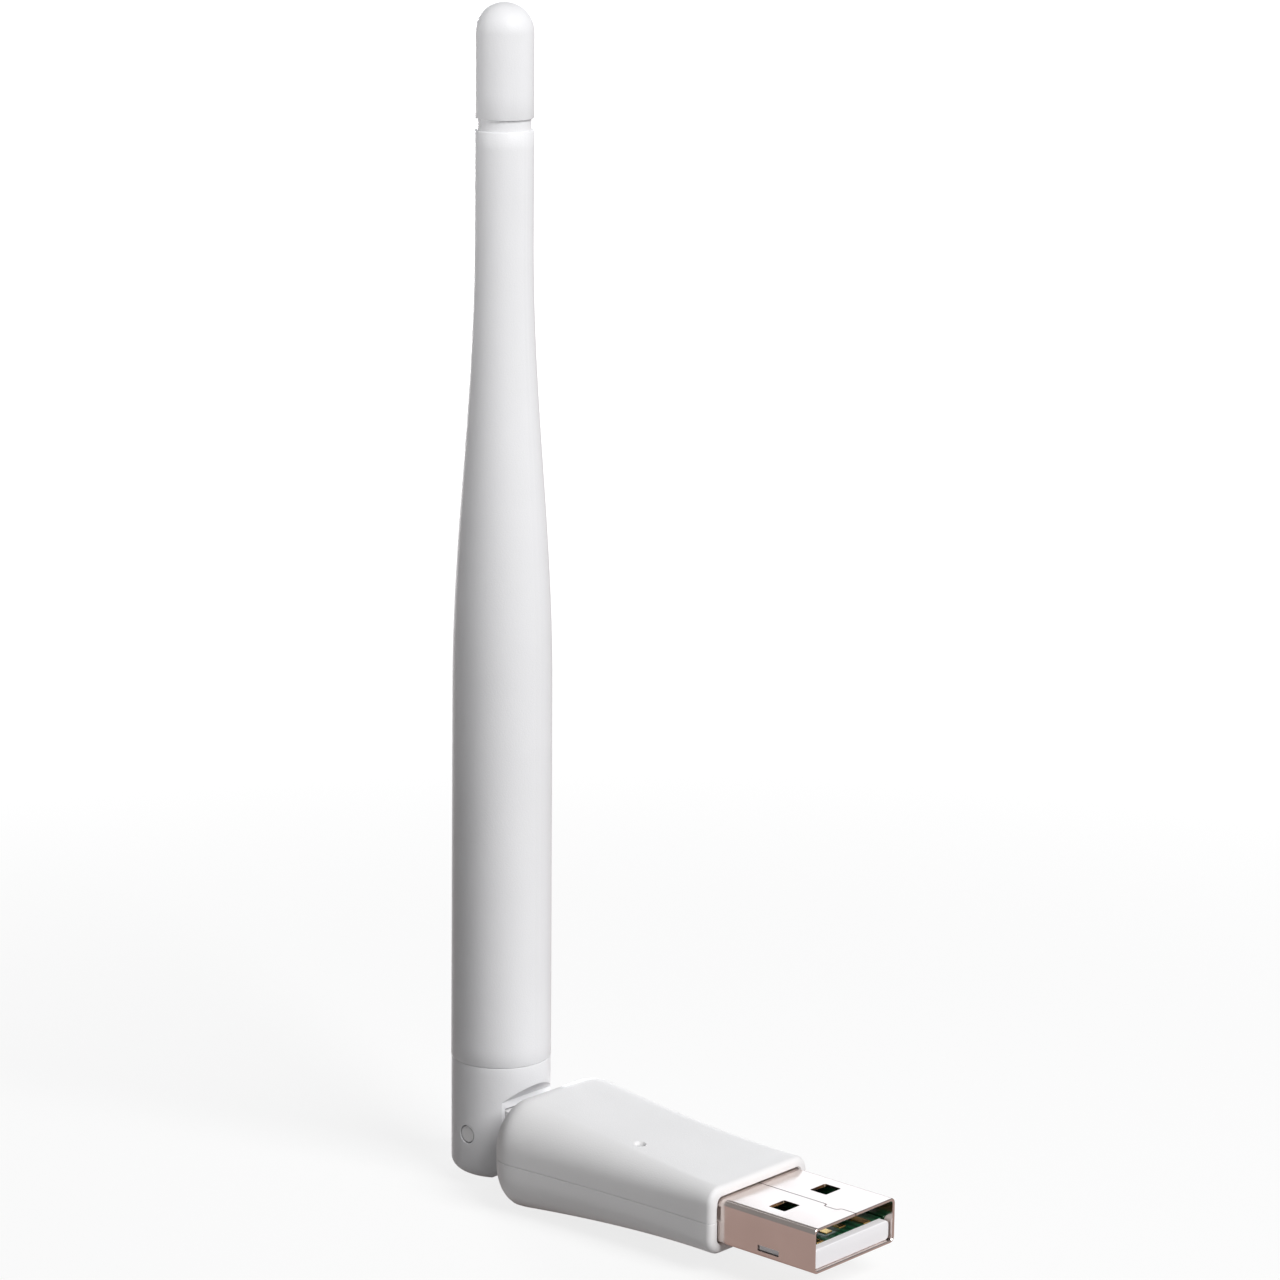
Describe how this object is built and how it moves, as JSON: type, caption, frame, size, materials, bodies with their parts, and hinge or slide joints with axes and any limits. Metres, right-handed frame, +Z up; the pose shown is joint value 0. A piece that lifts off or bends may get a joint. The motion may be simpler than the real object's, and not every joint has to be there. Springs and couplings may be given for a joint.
{
  "type": "usb wifi adapter",
  "caption": "Small white USB wireless adapter: a flared plastic housing with a USB-A plug, and a tapered rod antenna that swivels and folds back.",
  "frame": {"origin": "bottom centre of the whole part's box, at rest", "axes": "+Z up along the upright antenna, +X out of the plug's mouth, Y across the body"},
  "size_m": [0.051, 0.017, 0.1175],
  "materials": {
    "housing_plastic": "fine matt moulded texture",
    "antenna_plastic": "fine matt moulded texture",
    "plug_steel": "bright nickel plate, stamped",
    "plug_plastic": "smooth moulded",
    "board_laminate": "solder mask over laminate",
    "contact_gilding": "bright gilt",
    "chip_resin": "moulded resin",
    "can_steel": "drawn can",
    "clear_resin": "clear, smooth",
    "capacitor_ceramic": "fired ceramic with tinned ends",
    "lead_jacket": "smooth extruded jacket",
    "dipole_brass": "drawn",
    "bush_foam": "closed foam"
  },
  "bodies": {
    "housing": {"top_cover": "housing_plastic", "bottom_cover": "housing_plastic", "plug_shell": "plug_steel", "plug_spacer": "plug_plastic", "circuit_board": "board_laminate", "contact_pad_1": "contact_gilding", "contact_pad_2": "contact_gilding", "contact_pad_3": "contact_gilding", "contact_pad_4": "contact_gilding", "wifi_chip": "chip_resin", "crystal_can": "can_steel", "voltage_regulator": "chip_resin", "power_inductor": "chip_resin", "status_led": "clear_resin", "capacitor_1": "capacitor_ceramic", "capacitor_2": "capacitor_ceramic", "capacitor_3": "capacitor_ceramic", "capacitor_4": "capacitor_ceramic", "capacitor_5": "capacitor_ceramic", "capacitor_6": "capacitor_ceramic", "resistor_1": "chip_resin", "resistor_2": "chip_resin", "resistor_3": "chip_resin", "resistor_4": "chip_resin", "led_light_pipe": "clear_resin", "coax_board_lead": "lead_jacket"},
    "swivel": {"swivel_stem": "housing_plastic", "coax_swivel_lead": "lead_jacket"},
    "antenna": {"fork_base": "antenna_plastic", "antenna_sleeve": "antenna_plastic", "tip_cap": "antenna_plastic", "coax_antenna_lead": "lead_jacket", "dipole_choke_tube": "dipole_brass", "radiator_wire": "dipole_brass", "centring_bush": "bush_foam"}
  },
  "joints": [
    {"name": "swivel_turn", "type": "hinge", "parent": "housing", "child": "swivel", "pos_m": [-0.02043, 0, 0.00544], "axis": [1, 0, 0], "range_deg": [-90, 90]},
    {"name": "antenna_tilt", "type": "hinge", "parent": "swivel", "child": "antenna", "pos_m": [-0.02043, 0, 0.00544], "axis": [0, -1, 0], "range_deg": [0, 90]}
  ]
}
